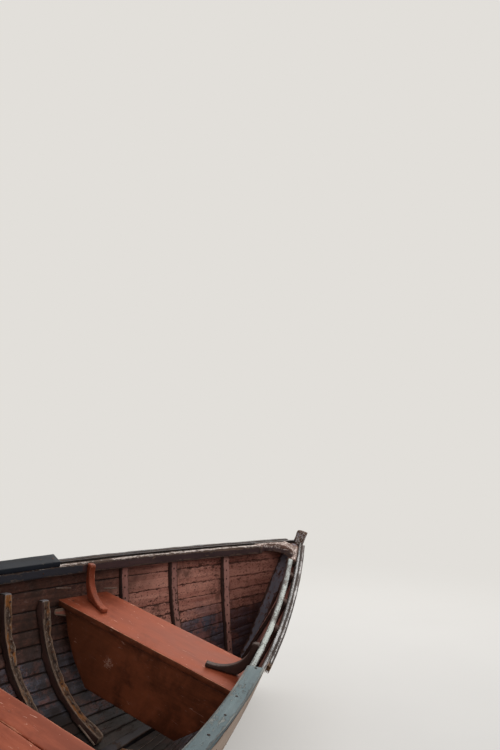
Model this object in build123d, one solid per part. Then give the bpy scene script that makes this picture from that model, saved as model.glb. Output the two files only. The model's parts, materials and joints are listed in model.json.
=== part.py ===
from build123d import *

import os
from math import atan2, cos, degrees, radians, sin, sqrt, tan

# Carvel-planked rowing boat, 4.9 m long, drawn upright in millimetres and then laid
# over on its starboard bilge runner, as it lies on a beach.
# X points forward from midships, Y to port and Z up from the underside of the keel.

# Lines of the hull, outside of the planking
STEM_X = 2385.0
TRANSOM_X = -2400.0
WIDEST_X = -250.0
HALF_BEAM = 786.0
SHEER_MIDSHIPS = 670.0
SHEER_BOW = 813.0
SHEER_STERN = 730.0
KEEL_DEPTH = 55.0
KEEL_HALF = 31.0
DEADRISE = 6.0
SIDE_FLARE = 4.0
BOTTOM_FULLNESS = 560.0
SIDE_FULLNESS = 430.0
STEM_RAKE = 25.0
FOREFOOT_RADIUS = 450.0
FOREFOOT_LEAD = 16.0
TRANSOM_HALF = 500.0
TRANSOM_FOOT = 185.0
TRANSOM_RAKE = 12.0
TRANSOM_DEADRISE = 20.0
TRANSOM_FLARE = 8.0
TRANSOM_BOTTOM_FULLNESS = 300.0
TRANSOM_SIDE_FULLNESS = 280.0
BOW_BEND_KEEL = 2.88
BOW_BEND_SHEER = 1.19
BOW_LIFT_KEEL = 6.0
BOW_LIFT_SHEER = 1.5
STERN_BEND = 4.0
STERN_LIFT = 2.0

# Planking, thirteen strakes a side; each seam is a share of the girth from keel to sheer
PLANK = 16.0
SEAM_GAP = 1.2
SEAMS = (0.0, 0.09, 0.175, 0.25, 0.32, 0.39, 0.46, 0.53, 0.59, 0.65, 0.715, 0.795, 0.885, 1.0)
PLANK_STATIONS = 13

# Clearances between fitted pieces, and behind bevelled frames
FIT = 0.4
FRAME_FIT = 1.2

# Backbone
STEM_CHAMFER = 19.0
STEM_HEAD_ABOVE = 62.0
STEM_HEAD_SLOPE = 12.0
SCARF_X = 1500.0
SCARF_RUN = 160.0
APRON_DEPTH = 68.0
HOG_HALF = 25.0
HOG_END_HALF = 11.0
HOG_HEIGHT = 32.0
HOG_FORE_X = 1640.0
HOG_AFT_X = -2180.0
HOG_TAPER = 700.0
STERNPOST = 40.0
STERNPOST_TOP = 600.0
TRANSOM_THICK = 26.0
TRANSOM_CROWN = 34.0

# Gunwale: frame heads stand in the slot between planking and inwale
FRAME_SLOT = 21.0
INWALE = 25.0
INWALE_DEPTH = 46.0
INWALE_FORE_X = 2085.0
RAIL = 20.0
RAIL_DEPTH = 42.0
RAIL_AFT_X = -2388.0
RAIL_FORE_X = 2357.0
CAP = 24.0
CAP_OVERHANG = 4.0
CAP_AFT_X = -2340.0
CAP_SLANT = 35.0
BREASTHOOK_DEPTH = 44.0
BREASTHOOK_THROAT = 150.0
BREASTHOOK_WING = 62.0
QUARTER_KNEE_RUN = 230.0
QUARTER_KNEE_DEPTH = 30.0

# The starboard rail has broken off aft of this station, and the capping there is cut flush
# with the planking; fore ends of the two cappings
BROKEN_RAIL_X = 990.0
PORT_CAP_FORE_X = 962.0
STARBOARD_CAP_FORE_X = 888.0

# Frames: station, siding, moulding beyond the planking
TIMBER_SIDED = 40.0
TIMBER_MOULDED = 19.0
BOW_TIMBERS = (1900.0, 1580.0, 1300.0)
MAIN_TIMBERS = (420.0, 130.0, -160.0, -450.0, -740.0, -1030.0, -1320.0, -1610.0, -1900.0)
CROOK_SIDED = 46.0
CROOK_MOULDED = 44.0
CROOK_FRAMES = ((870.0, 0.84), (690.0, 0.90))
FLOOR_SIDED = 44.0
FLOOR_STATIONS = (1440.0, 275.0, -305.0, -885.0, -1465.0)
FLOOR_TOP = 58.0
FLOOR_REACH = 0.30

# Thwarts: centre station and width fore and aft, and how many boards each has
BOARD = 28.0
THWARTS = {
    "thwart_fore": (1070.0, 252.0),
    "thwart_mid": (166.0, 252.0),
    "thwart_aft": (-740.0, 252.0),
    "stern_bench": (-1860.0, 560.0),
}
BOARD_COUNTS = {"thwart_fore": 1, "thwart_mid": 2, "thwart_aft": 1, "stern_bench": 3}
BOARD_GAP = 4.0
SEAT_LINE_X = 166.0
SEAT_LINE_Z = 490.0
SEAT_LINE_SLOPE = 0.0817
SEAT_LOWEST_X = -900.0
BEARER = 30.0
BEARER_DEPTH = 60.0
BEARER_BEYOND = 40.0
BULKHEAD = 22.0
BULKHEAD_DEPTH = 300.0

# Thwart knees, square to the side of the boat
KNEE_SIDED = 32.0
KNEE_ARM = 34.0
KNEE_REACH = 210.0
KNEE_TOE = 20.0
KNEE_AHEAD = 15.0

# Bilge runners, on which the boat lies over
RUNNER_FORE_X = 800.0
RUNNER_AFT_X = -1150.0
RUNNER_INNER = 0.47
RUNNER_OUTER = 0.51
RUNNER_DEPTH = 42.0

# Rowlock sockets, let into blocks on the capping
SOCKET_STATIONS = (-260.0, -1160.0)
SOCKET_LENGTH = 130.0
SOCKET_WIDTH = 44.0
SOCKET_HEIGHT = 20.0
SOCKET_CORNER = 15.0
SOCKET_BORE = 6.5
SOCKET_BED = 2.5

MIDSHIP = Bezier(
    (WIDEST_X, KEEL_HALF, KEEL_DEPTH),
    (
        WIDEST_X,
        KEEL_HALF + BOTTOM_FULLNESS * cos(radians(DEADRISE)),
        KEEL_DEPTH + BOTTOM_FULLNESS * sin(radians(DEADRISE)),
    ),
    (
        WIDEST_X,
        HALF_BEAM - SIDE_FULLNESS * sin(radians(SIDE_FLARE)),
        SHEER_MIDSHIPS - SIDE_FULLNESS * cos(radians(SIDE_FLARE)),
    ),
    (WIDEST_X, HALF_BEAM, SHEER_MIDSHIPS),
)


def on_transom(y, z):
    """Point of the raked plane of the transom's aft face."""
    return (TRANSOM_X - (z - SHEER_STERN) * tan(radians(TRANSOM_RAKE)), y, z)


TRANSOM_EDGE = Bezier(
    on_transom(KEEL_HALF, TRANSOM_FOOT),
    on_transom(
        KEEL_HALF + TRANSOM_BOTTOM_FULLNESS * cos(radians(TRANSOM_DEADRISE)),
        TRANSOM_FOOT + TRANSOM_BOTTOM_FULLNESS * sin(radians(TRANSOM_DEADRISE)),
    ),
    on_transom(
        TRANSOM_HALF - TRANSOM_SIDE_FULLNESS * sin(radians(TRANSOM_FLARE)),
        SHEER_STERN - TRANSOM_SIDE_FULLNESS * cos(radians(TRANSOM_FLARE)),
    ),
    on_transom(TRANSOM_HALF, SHEER_STERN),
)

# The rabbet, where the planks end on the stem: a forefoot arc and then a straight rake
FOREFOOT_CORNER_X = STEM_X - (SHEER_BOW - KEEL_DEPTH) * tan(radians(STEM_RAKE))
FOREFOOT_TANGENT = FOREFOOT_RADIUS * tan(radians(90 - STEM_RAKE) / 2)
FOREFOOT_X = FOREFOOT_CORNER_X - FOREFOOT_TANGENT


def stem_curve(ahead, top, lead=0.0):
    """Forefoot arc and stem face, drawn ahead of the rabbet, from angle lead up to height top."""
    radius = FOREFOOT_RADIUS + ahead
    centre = Vector(FOREFOOT_X, 0, KEEL_DEPTH + FOREFOOT_RADIUS)
    full = 90 - STEM_RAKE
    foot, middle, shoulder = [
        centre + Vector(sin(radians(angle)), 0, -cos(radians(angle))) * radius
        for angle in (lead, (lead + full) / 2, full)
    ]
    head = shoulder + Vector(tan(radians(STEM_RAKE)), 0, 1) * (top - shoulder.Z)
    return [ThreePointArc(foot, middle, shoulder), Line(shoulder, head)]


RABBET = Wire(stem_curve(0, SHEER_BOW, FOREFOOT_LEAD))


def bend(run, sharpness):
    """Curve from 0 to 1 that starts level and straightens out towards its end."""
    return (sqrt(1 + (sharpness * run) ** 2) - 1) / (sqrt(1 + sharpness ** 2) - 1)


def hull(x, t):
    """Outside of the port planking at station x and share t of the girth, keel to sheer."""
    middle = MIDSHIP @ t
    if x >= WIDEST_X:
        end = RABBET @ t
        run = (x - WIDEST_X) / (end.X - WIDEST_X)
        width = 1 - bend(run, BOW_BEND_KEEL + (BOW_BEND_SHEER - BOW_BEND_KEEL) * t)
        lift = run ** (BOW_LIFT_SHEER + (BOW_LIFT_KEEL - BOW_LIFT_SHEER) * (1 - t) ** 3)
        y = KEEL_HALF + (middle.Y - KEEL_HALF) * width
    else:
        end = TRANSOM_EDGE @ t
        run = (WIDEST_X - x) / (WIDEST_X - end.X)
        lift = run ** STERN_LIFT
        y = middle.Y + (end.Y - middle.Y) * bend(run, STERN_BEND)
    return Vector(x, y, middle.Z + (end.Z - middle.Z) * lift)


def square(x):
    """Station square across the boat."""
    return lambda t: x


def swept(share):
    """Station that leans with the stem or the transom, a share of the way to either end."""
    edge = RABBET if share > 0 else TRANSOM_EDGE
    return lambda t: WIDEST_X + abs(share) * ((edge @ t).X - WIDEST_X)


def leaning(ahead):
    """Station in a plane parallel to the transom, that far ahead of its after face."""
    def x_at(t):
        x = TRANSOM_X
        for _ in range(5):
            x = on_transom(0, hull(x, t).Z)[0] + ahead
        return x
    return x_at


def directions(station, t):
    """Along the station from keel to sheer, and squarely into the boat."""
    low = max(t - 0.002, 0.0)
    high = min(t + 0.002, 1.0)
    x = station(t)
    up = (hull(station(high), high) - hull(station(low), low)).normalized()
    into = (hull(x + 1, t) - hull(x - 1, t)).cross(up).normalized()
    return up, into


def inboard(station, t, depth):
    """Point on the station, depth inside the outer face of the planking."""
    up, into = directions(station, t)
    across = Vector(0, -1, 0)
    side = (across - up * up.dot(across)).normalized()
    return hull(station(t), t) + side * (depth / into.dot(side))


def squarely_in(station, t, depth):
    """Point depth inside the hull, measured squarely to its outer face."""
    return hull(station(t), t) + directions(station, t)[1] * depth


def behind_plank(station, t, depth):
    """Point depth inside the flat of the plank that covers share t of the girth."""
    low, high = next(pair for pair in zip(SEAMS, SEAMS[1:]) if t <= pair[1])
    along = (t - low) / (high - low)
    return inboard(station, low, depth) * (1 - along) + inboard(station, high, depth) * along


def at_height(x, z, depth):
    """Point at station x and height z, depth inside the outer face of the planking."""
    seams = [inboard(square(x), t, depth) for t in SEAMS]
    low, high = next(pair for pair in zip(seams, seams[1:]) if z <= pair[1].Z)
    return Vector(x, low.Y + (high.Y - low.Y) * (z - low.Z) / (high.Z - low.Z), z)


def gunwale_top(x):
    """Height of the top of the gunwale, level with the inner edge of the top strake."""
    return inboard(square(x), 1.0, PLANK).Z


def gunwale(x, depth, below):
    """Point beside the sheer, depth inside the planking and below the top of the gunwale."""
    into = directions(square(x), 1.0)[1]
    sheer = hull(x, 1.0)
    plank = sheer - hull(x, SEAMS[-2])
    z = gunwale_top(x) - below
    flare = plank.Y / plank.Z
    return Vector(x, sheer.Y + depth / into.Y - (sheer.Z - z) * flare, z)


def flip(point):
    """The same point on the starboard side."""
    return Vector(point.X, -point.Y, point.Z)


def both_sides(port):
    """A port piece and its twin to starboard."""
    return [port, port.mirror(Plane.XZ)]


def loft_through(sections, ruled=False):
    """Solid through closed outlines given by their corners."""
    wires = [Wire.make_polygon(corners, close=True) for corners in sections]
    return Solid.make_loft(wires, ruled)


def profile_piece(edges, half_width):
    """Solid from a closed outline in the middle plane, as wide to port as to starboard."""
    face = Face(Wire(edges))
    return Solid.extrude(face.translate((0, -half_width, 0)), Vector(0, 2 * half_width, 0))


def spaced(first, last, count):
    """Evenly spaced values from first to last."""
    return [first + (last - first) * step / (count - 1) for step in range(count)]


def seam_step(station, t, width):
    """Step across a plank that leaves half the seam's gap, measured squarely to the seam."""
    x = station(t)
    along = (hull(x + 1, t) - hull(x - 1, t)).normalized()
    return width * (SEAM_GAP / 2 / width.cross(along).length)


def strake(low, high):
    """One plank from transom to stem, between two seams."""
    sections = []
    for share in spaced(-1.0, 1.0, PLANK_STATIONS):
        station = swept(share)
        place = inboard if abs(share) == 1.0 else squarely_in
        bottom = [place(station, low, depth) for depth in (0, PLANK)]
        top = [place(station, high, depth) for depth in (0, PLANK)]
        width = (top[0] - bottom[0]).normalized()
        lower = seam_step(station, low, width)
        upper = seam_step(station, high, width)
        sections.append([bottom[0] + lower, top[0] - upper, top[1] - upper, bottom[1] + lower])
    return loft_through(sections)


def rabbet_points(first_x, last_x, count):
    """Points under the garboards' lower edges along the middle of the keel."""
    return [Vector(x, 0, hull(x, 0).Z - FIT) for x in spaced(first_x, last_x, count)]


def keel():
    """Keel with its deadwood, top following the garboards, scarfed to the stem."""
    heel_x = on_transom(0, 0)[0] + FIT
    post_x = on_transom(0, TRANSOM_FOOT)[0] + FIT
    top = rabbet_points(post_x, SCARF_X, 9)
    ends = [top[-1], Vector(SCARF_X + SCARF_RUN, 0, 0), Vector(heel_x, 0, 0), top[0]]
    return profile_piece([Spline(*top), *Polyline(*ends).edges()], KEEL_HALF - FIT)


def on_nose(edge):
    """Whether an edge of the stem runs along the sides of its fore face."""
    middle = edge @ 0.5
    top = SHEER_BOW + STEM_HEAD_ABOVE
    fore = min((curve.distance_to(Vector(middle.X, 0, middle.Z)) for curve in stem_curve(KEEL_DEPTH, top)))
    return abs(middle.Y) > 1 and fore < 0.5 and edge.length > 2 * STEM_CHAMFER


def stem():
    """Stem ahead of the plank ends, narrowed to a nose, with a head above the gunwale."""
    top = SHEER_BOW + STEM_HEAD_ABOVE
    inner = stem_curve(FIT, top, FOREFOOT_LEAD)
    outer = stem_curve(KEEL_DEPTH, top - STEM_HEAD_SLOPE)
    under = rabbet_points(SCARF_X + FIT, (inner[0] @ 0).X - 12, 4) + [inner[0] @ 0]
    scarf_foot = Vector(SCARF_X + SCARF_RUN + FIT, 0, 0)
    outline = [
        *inner,
        Line(inner[-1] @ 1, outer[-1] @ 1),
        *outer,
        Line(outer[0] @ 0, scarf_foot),
        Line(scarf_foot, under[0]),
        Spline(*under),
    ]
    block = profile_piece(outline, KEEL_HALF)
    nose = [edge for edge in block.edges() if on_nose(edge)]
    return block.chamfer(STEM_CHAMFER, None, nose)


def apron():
    """Inner stem, bevelled to the planks that land on it."""
    sections = []
    for t in spaced(0.2, 0.985, 11):
        end = RABBET @ t
        reach = 1 - APRON_DEPTH / (end.X - WIDEST_X)
        front = inboard(swept(0.998), t, PLANK + 2 * FIT)
        back = inboard(swept(reach), t, PLANK + 2 * FIT)
        sections.append([front, back, flip(back), flip(front)])
    return loft_through(sections, ruled=True)


def hog():
    """Batten on the keel between the garboards, tapered in plan to both ends."""
    sections = []
    for x in spaced(HOG_AFT_X, HOG_FORE_X, 17):
        z = hull(x, 0).Z + FIT
        taper = min(1.0, min(x - HOG_AFT_X, HOG_FORE_X - x) / HOG_TAPER)
        half = HOG_END_HALF + (HOG_HALF - HOG_END_HALF) * taper
        sections.append([(x, -half, z), (x, half, z), (x, half, z + HOG_HEIGHT), (x, -half, z + HOG_HEIGHT)])
    return loft_through(sections, ruled=True)


def band(x, half, shares, outer, inner):
    """Outline at one face of a frame, from depth outer to depth inner over the girth shares."""
    station = square(x + half)
    back = [behind_plank(station, t, outer) for t in shares]
    return back + [behind_plank(station, t, inner) for t in reversed(shares)]


def frame(x, sided, moulded, low, high):
    """Port half of a frame, bevelled to the planks, over a range of girth shares."""
    shares = [low] + [t for t in SEAMS if low < t < high] + [high]
    faces = [
        band(x, half, shares, PLANK + FRAME_FIT, PLANK + FRAME_FIT + moulded)
        for half in (-sided / 2, sided / 2)
    ]
    return loft_through(faces, ruled=True)


def girth_share_at(x):
    """Lowest share of the girth at which the hull still reaches station x."""
    low = 0.05
    while (RABBET @ low).X < x + APRON_DEPTH + 30:
        low += 0.01
    return low


def floor_timber(x):
    """Floor across the bottom, notched over the hog, flat on top."""
    shares = [0.035] + [t for t in SEAMS if 0.035 < t < FLOOR_REACH] + [FLOOR_REACH]
    faces = []
    for face_x in (x - FLOOR_SIDED / 2, x + FLOOR_SIDED / 2):
        station = square(face_x)
        side = [behind_plank(station, t, PLANK + FRAME_FIT) for t in shares]
        top = max(hull(x, 0).Z + FLOOR_TOP, side[-1].Z + 8)
        notch = hull(face_x, 0).Z + HOG_HEIGHT + FRAME_FIT
        half = HOG_HALF + 2
        corners = [Vector(face_x, side[-1].Y, top)]
        corners += list(reversed(side))
        corners += [Vector(face_x, half, side[0].Z), Vector(face_x, half, notch)]
        faces.append(corners + [flip(point) for point in reversed(corners)])
    return loft_through(faces, ruled=True)


def transom():
    """Raked transom inside the planks, bevelled to them, with a crowned top."""
    faces = []
    for ahead in (0.0, TRANSOM_THICK):
        station = leaning(ahead)
        side = [inboard(station, t, PLANK + FIT) for t in SEAMS]
        foot_z = hull(station(0), 0).Z + FIT
        foot = Vector(on_transom(0, foot_z)[0] + ahead, KEEL_HALF - 8, foot_z)
        side = [Vector(on_transom(0, point.Z)[0] + ahead, point.Y, point.Z) for point in side]
        crown = []
        for share_up in (0.5, 0.0):
            y = side[-1].Y * share_up
            z = side[-1].Z + TRANSOM_CROWN * (1 - share_up ** 2)
            crown.append(Vector(on_transom(0, z)[0] + ahead, y, z))
        corners = [foot] + side + crown
        faces.append(corners + [flip(point) for point in reversed(corners[:-1])])
    return loft_through(faces, ruled=True)


def sternpost():
    """Post up the after face of the transom, from the heel of the keel."""
    edge = [on_transom(0, z) for z in (0, STERNPOST_TOP)]
    corners = [edge[0], edge[1], (edge[1][0] - STERNPOST, 0, STERNPOST_TOP), (edge[0][0] - STERNPOST, 0, 0)]
    return profile_piece(Polyline(*corners, close=True).edges(), KEEL_HALF - FIT)


def rail_piece(stations, outer, inner, above, below):
    """Long strip beside the sheer, between two depths and two heights."""
    sections = []
    for x in stations:
        sections.append([
            gunwale(x, outer, -above),
            gunwale(x, inner, -above),
            gunwale(x, inner, below),
            gunwale(x, outer, below),
        ])
    return loft_through(sections)


def seat_height(x):
    """Top of the thwarts along the boat: straight forward, easing to a low point aft."""
    if x > SEAT_LINE_X:
        return SEAT_LINE_Z + SEAT_LINE_SLOPE * (x - SEAT_LINE_X)
    ahead = x - SEAT_LINE_X
    bend = SEAT_LINE_SLOPE / (2 * (SEAT_LINE_X - SEAT_LOWEST_X))
    return SEAT_LINE_Z + SEAT_LINE_SLOPE * ahead + bend * ahead ** 2


def seat_slope(x):
    """Fore-and-aft slope of a thwart at station x."""
    return (seat_height(x + 1) - seat_height(x - 1)) / 2


SEAT_INSET = PLANK + TIMBER_MOULDED + 3.0


def board(centre, aft_x, fore_x):
    """One thwart board between the timbers, lying at the slope of its thwart."""
    slope = seat_slope(centre)
    levels = []
    for drop in (0.0, BOARD):
        outline = []
        for x in (aft_x, fore_x):
            z = seat_height(centre) + slope * (x - centre) - drop
            outline.append(at_height(x, z, SEAT_INSET))
        levels.append([outline[0], outline[1], flip(outline[1]), flip(outline[0])])
    return loft_through(levels, ruled=True)


def thwart(centre, width, boards):
    """Thwart of one or more boards side by side."""
    pitch = (width + BOARD_GAP) / boards
    aft = centre - width / 2
    return [board(centre, aft + n * pitch, aft + n * pitch + pitch - BOARD_GAP) for n in range(boards)]


def bearer(centre, width):
    """Bearer along the timbers under the ends of a thwart."""
    slope = seat_slope(centre)
    sections = []
    for x in spaced(centre - width / 2 - BEARER_BEYOND, centre + width / 2 + BEARER_BEYOND, 3):
        top = seat_height(centre) + slope * (x - centre) - BOARD - FIT
        outer = PLANK + FRAME_FIT + TIMBER_MOULDED + FIT
        sections.append([
            at_height(x, top, outer),
            at_height(x, top, outer + BEARER),
            at_height(x, top - BEARER_DEPTH, outer + BEARER),
            at_height(x, top - BEARER_DEPTH, outer),
        ])
    return loft_through(sections)


def bulkhead(centre, width):
    """Board across the boat under the after edge of the fore thwart."""
    x = centre - width / 2 + 8
    top = seat_height(centre) - seat_slope(centre) * width / 2 - BOARD - 2
    depth = PLANK + TIMBER_MOULDED + BEARER + 6
    faces = []
    for face_x in (x, x + BULKHEAD):
        side = [at_height(face_x, z, depth) for z in spaced(top, top - BULKHEAD_DEPTH, 4)]
        faces.append(side + [flip(point) for point in reversed(side)])
    return loft_through(faces, ruled=True)


def thwart_knee(x):
    """Grown port knee from the inwale down to the top of a thwart, square to the side."""
    inwale_face = PLANK + FRAME_SLOT + INWALE
    head = gunwale(x, inwale_face + FIT, 0)
    foot = gunwale(x, inwale_face + FIT, INWALE_DEPTH)
    lean = foot.Y - head.Y
    into = directions(square(x), 1.0)[1]
    turn = degrees(atan2(into.X, -into.Y))
    toe_x = x + KNEE_REACH * sin(radians(turn))
    heel_z = seat_height(x) + seat_slope(x) * KNEE_SIDED / 2 + FIT - head.Z
    toe_z = seat_height(toe_x) + seat_slope(x) * KNEE_SIDED / 2 + FIT - head.Z
    heel = Vector(0, lean - 60, heel_z)
    toe = Vector(0, -KNEE_REACH, toe_z)
    front = Spline(
        toe + Vector(0, 0, KNEE_TOE),
        toe + Vector(0, 62, KNEE_TOE + 3),
        Vector(0, -KNEE_ARM - 44, heel_z + 52),
        Vector(0, -KNEE_ARM - 10, -62),
        Vector(0, -KNEE_ARM, -8),
    )
    outline = [
        Line((0, 0, 0), (0, lean, -INWALE_DEPTH)),
        ThreePointArc(
            (0, lean, -INWALE_DEPTH),
            (0, lean - 16, (heel_z - INWALE_DEPTH) / 2),
            heel,
        ),
        Line(heel, toe),
        Line(toe, front @ 0),
        front,
        Line(front @ 1, (0, -KNEE_ARM + 8, 0)),
        Line((0, -KNEE_ARM + 8, 0), (0, 0, 0)),
    ]
    face = Face(Wire(outline)).translate((-KNEE_SIDED / 2, 0, 0))
    knee = Solid.extrude(face, Vector(KNEE_SIDED, 0, 0))
    return knee.rotate(Axis.Z, turn).translate(head)


def breasthook():
    """Grown knee that ties both sides together behind the stem."""
    levels = []
    for below in (2.0, BREASTHOOK_DEPTH):
        fore_x = STEM_X - below * tan(radians(STEM_RAKE)) - APRON_DEPTH - 8
        fore = gunwale(fore_x, PLANK + FIT, below)
        tip = gunwale(INWALE_FORE_X + 2, PLANK + FIT, below)
        inner = Vector(tip.X, tip.Y - BREASTHOOK_WING, tip.Z)
        slope = (fore.Z - tip.Z) / (fore.X - tip.X)
        throat_x = fore.X - (BREASTHOOK_THROAT - APRON_DEPTH)
        throat = Vector(throat_x, 0, fore.Z - slope * (fore.X - throat_x))
        curve = ThreePointArc(inner, throat, flip(inner))
        levels.append([fore, tip] + [curve @ share for share in spaced(0, 1, 13)] + [flip(tip), flip(fore)])
    return loft_through(levels, ruled=True)


def quarter_knee():
    """Flat knee in the corner of transom and inwale, port side."""
    depth = PLANK + FRAME_SLOT + INWALE + 4
    levels = []
    for below in (3.0, QUARTER_KNEE_DEPTH):
        aft_x = TRANSOM_X + TRANSOM_THICK + 8 + below * tan(radians(TRANSOM_RAKE))
        corner = gunwale(aft_x, depth, below)
        along = gunwale(aft_x + QUARTER_KNEE_RUN, depth, below)
        levels.append([
            Vector(corner.X, corner.Y, along.Z),
            along,
            Vector(aft_x + 70, corner.Y - 60, along.Z),
            Vector(aft_x, corner.Y - QUARTER_KNEE_RUN, along.Z),
        ])
    return loft_through(levels, ruled=True)


def capping(fore_x, outer):
    """Board over inwale, frame heads and top strake, slanted at its fore end."""
    inner = PLANK + FRAME_SLOT + INWALE + CAP_OVERHANG
    sections = []
    for share in spaced(0, 1, 15):
        outer_x = CAP_AFT_X + (fore_x - CAP_AFT_X) * share
        inner_x = outer_x - CAP_SLANT * max(0.0, 8 * share - 7)
        top = [gunwale(outer_x, outer, -CAP - 2 * FIT), gunwale(inner_x, inner, -CAP - 2 * FIT)]
        drop = gunwale(outer_x, outer, -2 * FIT) - top[0]
        sections.append([*top, top[1] + drop, top[0] + drop])
    return loft_through(sections)


def runner():
    """Bilge runner outside the planking."""
    sections = []
    for x in spaced(RUNNER_AFT_X, RUNNER_FORE_X, 10):
        station = square(x)
        sections.append([
            inboard(station, RUNNER_INNER, -FIT),
            inboard(station, RUNNER_OUTER, -FIT),
            inboard(station, RUNNER_OUTER, -RUNNER_DEPTH),
            inboard(station, RUNNER_INNER, -RUNNER_DEPTH),
        ])
    return loft_through(sections)


def parked_heel():
    """Angle at which keel edge and bilge runner both touch level ground."""
    angles = []
    for x in spaced(RUNNER_AFT_X, RUNNER_FORE_X, 40):
        for share in (RUNNER_INNER, RUNNER_OUTER):
            edge = inboard(square(x), share, -RUNNER_DEPTH)
            angles.append(degrees(atan2(edge.Z, edge.Y - KEEL_HALF)))
    return min(angles)


def socket(x, outer):
    """Rowlock socket block on the capping, port side, bored for the rowlock pin."""
    centre = (gunwale(x, outer, 0) + gunwale(x, PLANK + FRAME_SLOT + INWALE, 0)) * 0.5
    base = centre.Z + CAP + 2 * FIT + SOCKET_BED
    block = Box(SOCKET_LENGTH, SOCKET_WIDTH, SOCKET_HEIGHT)
    block = chamfer(block.edges().filter_by(Axis.Z), SOCKET_CORNER)
    block -= Cylinder(SOCKET_BORE, SOCKET_HEIGHT * 2)
    return block.translate((x, centre.Y, base + SOCKET_HEIGHT / 2)).solid()


pieces = {"keel": [keel()], "stem": [stem()], "apron": [apron()], "hog": [hog()]}
for number, (low, high) in enumerate(zip(SEAMS, SEAMS[1:]), start=1):
    pieces[f"strake_{number:02d}"] = both_sides(strake(low, high))
pieces["transom"] = [transom()]
pieces["sternpost"] = [sternpost()]
pieces["bow_timbers"] = [
    half
    for x in BOW_TIMBERS
    for half in both_sides(frame(x, TIMBER_SIDED, TIMBER_MOULDED, girth_share_at(x), 0.992))
]
pieces["main_timbers"] = [
    half
    for x in MAIN_TIMBERS
    for half in both_sides(frame(x, TIMBER_SIDED, TIMBER_MOULDED, 0.05, 0.992))
]
pieces["crook_frames"] = [
    half
    for x, head in CROOK_FRAMES
    for half in both_sides(frame(x, CROOK_SIDED, CROOK_MOULDED, 0.05, head))
]
pieces["floors"] = [floor_timber(x) for x in FLOOR_STATIONS]
for name, (centre, width) in THWARTS.items():
    pieces[name] = thwart(centre, width, BOARD_COUNTS[name])
pieces["bearers"] = [half for place in THWARTS.values() for half in both_sides(bearer(*place))]
pieces["bulkhead"] = [bulkhead(*THWARTS["thwart_fore"])]
pieces["thwart_knees"] = [
    half
    for name in ("thwart_fore", "thwart_mid", "thwart_aft")
    for half in both_sides(thwart_knee(THWARTS[name][0] + KNEE_AHEAD))
]
pieces["breasthook"] = [breasthook()]
pieces["quarter_knees"] = both_sides(quarter_knee())
strip_stations = spaced(TRANSOM_X + TRANSOM_THICK + 30, INWALE_FORE_X, 17)
slot_side = PLANK + FRAME_SLOT
pieces["inwales"] = both_sides(rail_piece(strip_stations, slot_side, slot_side + INWALE, 0, INWALE_DEPTH))
port_rail = rail_piece(spaced(RAIL_AFT_X, RAIL_FORE_X, 17), -RAIL, -FIT, 0, RAIL_DEPTH)
rail_stub = rail_piece(spaced(BROKEN_RAIL_X, RAIL_FORE_X, 7), -RAIL, -FIT, 0, RAIL_DEPTH)
pieces["rub_rails"] = [port_rail, rail_stub.mirror(Plane.XZ)]
pieces["capping"] = [
    capping(PORT_CAP_FORE_X, -RAIL - CAP_OVERHANG),
    capping(STARBOARD_CAP_FORE_X, 0).mirror(Plane.XZ),
]
pieces["runners"] = both_sides(runner())
pieces["rowlock_sockets"] = [
    half for x in SOCKET_STATIONS for half in (socket(x, -RAIL), socket(x, 0).mirror(Plane.XZ))
]

heel = parked_heel()
for name in pieces:
    pieces[name] = [piece.rotate(Axis.X, heel) for piece in pieces[name]]
whole = Compound([piece for group in pieces.values() for piece in group]).bounding_box()
shift = Vector(-whole.center().X, -whole.center().Y, -whole.min.Z)
os.makedirs("parts", exist_ok=True)
for name, group in pieces.items():
    moved = [piece.translate(shift) for piece in group]
    export_step(moved[0] if len(moved) == 1 else Compound(moved), f"parts/{name}.step")
print("heel", round(heel, 2), "size", whole.size, "shift", shift)
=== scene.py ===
import json
import math

import bmesh
import bpy
import numpy as np
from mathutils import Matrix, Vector, noise
from mathutils.kdtree import KDTree

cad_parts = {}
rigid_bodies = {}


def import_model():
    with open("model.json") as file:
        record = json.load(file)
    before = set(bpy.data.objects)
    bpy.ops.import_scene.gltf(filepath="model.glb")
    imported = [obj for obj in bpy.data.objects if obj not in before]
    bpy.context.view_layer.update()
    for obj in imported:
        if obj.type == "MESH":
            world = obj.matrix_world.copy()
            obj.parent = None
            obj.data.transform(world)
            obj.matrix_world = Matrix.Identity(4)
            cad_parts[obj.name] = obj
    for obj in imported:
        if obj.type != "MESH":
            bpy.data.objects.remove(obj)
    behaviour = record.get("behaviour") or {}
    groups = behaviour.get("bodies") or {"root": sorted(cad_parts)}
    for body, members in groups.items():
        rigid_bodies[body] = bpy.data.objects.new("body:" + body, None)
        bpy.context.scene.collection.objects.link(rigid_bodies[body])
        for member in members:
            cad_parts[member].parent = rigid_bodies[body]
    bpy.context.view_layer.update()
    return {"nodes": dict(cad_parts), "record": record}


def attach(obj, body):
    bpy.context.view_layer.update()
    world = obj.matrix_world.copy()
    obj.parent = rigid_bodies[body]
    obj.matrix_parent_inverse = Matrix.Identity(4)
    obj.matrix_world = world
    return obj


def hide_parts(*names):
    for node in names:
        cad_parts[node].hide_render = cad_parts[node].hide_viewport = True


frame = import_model()
nodes = frame["nodes"]

# Planking
# Thirteen softwood strakes a side, carvel laid and nailed to the frames. The planks have rounded
# edges, so the caulked seams show as grooves. The oil paint is old: faded mauve and slate inside,
# maroon further aft, pale buff outside.

UP = np.array(frame["record"]["mounts"][0]["axis"])
PORT = np.array([0.0, UP[2], -UP[1]])
KEEL_LINE = np.array([v.co for v in nodes["hog"].data.vertices]).mean(axis=0) * [0, 1, 1]
AXIS_HEIGHT = 0.70
HULL_AXIS = KEEL_LINE + UP * AXIS_HEIGHT
STRAKES = 13
PLANK_EDGE_RADIUS = 0.0022

# Middle of a rounded corner, as a share of its radius along each of its two sides
CORNER = 0.293


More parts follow.
